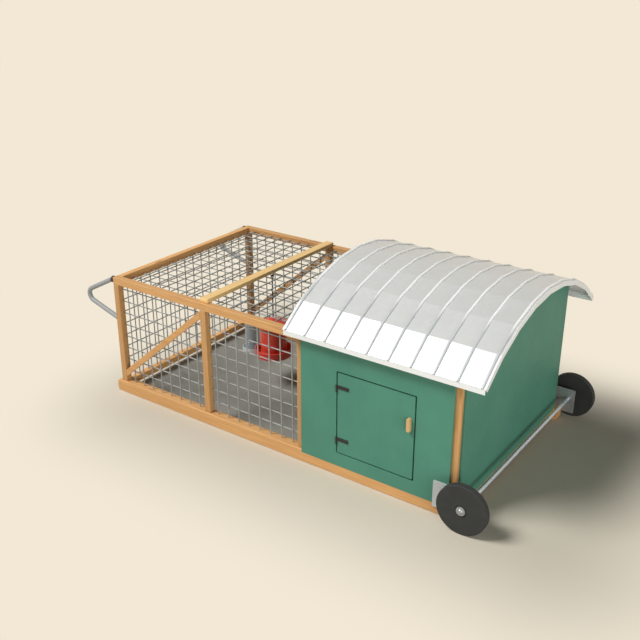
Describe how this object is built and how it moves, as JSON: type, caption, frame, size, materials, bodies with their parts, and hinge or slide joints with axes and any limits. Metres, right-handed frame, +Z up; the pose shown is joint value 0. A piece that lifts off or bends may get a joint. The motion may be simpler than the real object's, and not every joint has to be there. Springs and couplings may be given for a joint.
{
  "type": "chicken tractor",
  "caption": "Movable timber and mesh chicken run on skids, with a wheeled coop under an arched standing-seam roof, lifting handles, a side door, a hanging feeder and a drinker.",
  "frame": {"origin": "middle of the footprint's bounding box, on the ground under the skids and wheels", "axes": "+X from the lifting handles to the wheels, +Y from the door side to the far side, +Z up"},
  "size_m": [2.7616, 1.458, 1.037],
  "materials": {
    "pine": "planed and oiled",
    "pale_pine": "planed",
    "green_paint": "satin paint on plywood",
    "dark_green_paint": "satin paint",
    "roof_metal": "satin coated sheet",
    "galvanised_mesh": "galvanised wire",
    "zinc_steel": "galvanised",
    "black_steel": "black powder coat",
    "wheel_rubber": "moulded",
    "grey_mat": "fine ribbed sheet",
    "red_plastic": "moulded"
  },
  "bodies": {
    "frame": {"near_skid": "pine", "far_skid": "pine", "run_end_sill": "pine", "coop_front_sill": "pine", "coop_rear_sill": "pine", "near_corner_post": "pine", "far_corner_post": "pine", "near_mid_post": "pine", "far_mid_post": "pine", "near_coop_post": "pine", "far_coop_post": "pine", "near_rear_post": "pine", "far_rear_post": "pine", "near_top_rail": "pine", "far_top_rail": "pine", "run_end_rail": "pine", "coop_front_rail": "pine", "coop_rear_rail": "pine", "cross_batten": "pale_pine", "near_brace": "pine", "far_brace": "pine", "near_mesh": "galvanised_mesh", "far_mesh": "galvanised_mesh", "end_mesh": "galvanised_mesh", "top_mesh": "galvanised_mesh", "run_mat": "grey_mat", "near_side_panel": "green_paint", "far_side_panel": "green_paint", "rear_panel": "green_paint", "front_panel": "green_paint", "coop_floor": "pale_pine", "perch": "pine", "roof_purlins": "pine", "roof_sheet": "roof_metal", "roof_seams": "roof_metal", "roof_trims": "roof_metal", "door_stops": "dark_green_paint", "hinge_pintles": "black_steel", "near_axle_plate": "zinc_steel", "far_axle_plate": "zinc_steel", "plate_bolts": "zinc_steel", "axle": "zinc_steel", "axle_spacers": "zinc_steel", "axle_caps": "zinc_steel", "near_handle": "zinc_steel", "far_handle": "zinc_steel", "handle_flanges": "black_steel", "feeder_eye": "black_steel", "drinker_dish": "zinc_steel", "drinker_can": "zinc_steel"},
    "door": {"door_panel": "green_paint", "hinge_straps": "black_steel"},
    "latch": {"door_pull": "pale_pine", "latch_tongue": "zinc_steel"},
    "near_wheel": {"near_wheel": "wheel_rubber"},
    "far_wheel": {"far_wheel": "wheel_rubber"},
    "feeder": {"feeder_rod": "black_steel", "feeder_tray": "red_plastic", "feeder_hopper": "red_plastic"},
    "feeder_lid": {"feeder_lid": "red_plastic"}
  },
  "joints": [
    {"name": "door_swing", "type": "hinge", "parent": "frame", "child": "door", "pos_m": [0.48978, -0.637, 0.134], "axis": [0, 0, -1], "range_deg": [0, 150]},
    {"name": "latch_turn", "type": "hinge", "parent": "door", "child": "latch", "pos_m": [0.91378, -0.633, 0.447], "axis": [0, 1, 0], "range_deg": [0, 90]},
    {"name": "near_wheel_spin", "type": "hinge", "parent": "frame", "child": "near_wheel", "pos_m": [1.24878, -0.633, 0.132], "axis": [0, 1, 0], "continuous": true},
    {"name": "far_wheel_spin", "type": "hinge", "parent": "frame", "child": "far_wheel", "pos_m": [1.24878, 0.633, 0.132], "axis": [0, 1, 0], "continuous": true},
    {"name": "feeder_swing", "type": "hinge", "parent": "frame", "child": "feeder", "pos_m": [-0.41722, 0, 0.718], "axis": [1, 0, 0], "range_deg": [-20, 20]},
    {"name": "feeder_lid_lift", "type": "slide", "parent": "feeder", "child": "feeder_lid", "axis": [0, 0, 1], "range_m": [0, 0.12]}
  ]
}
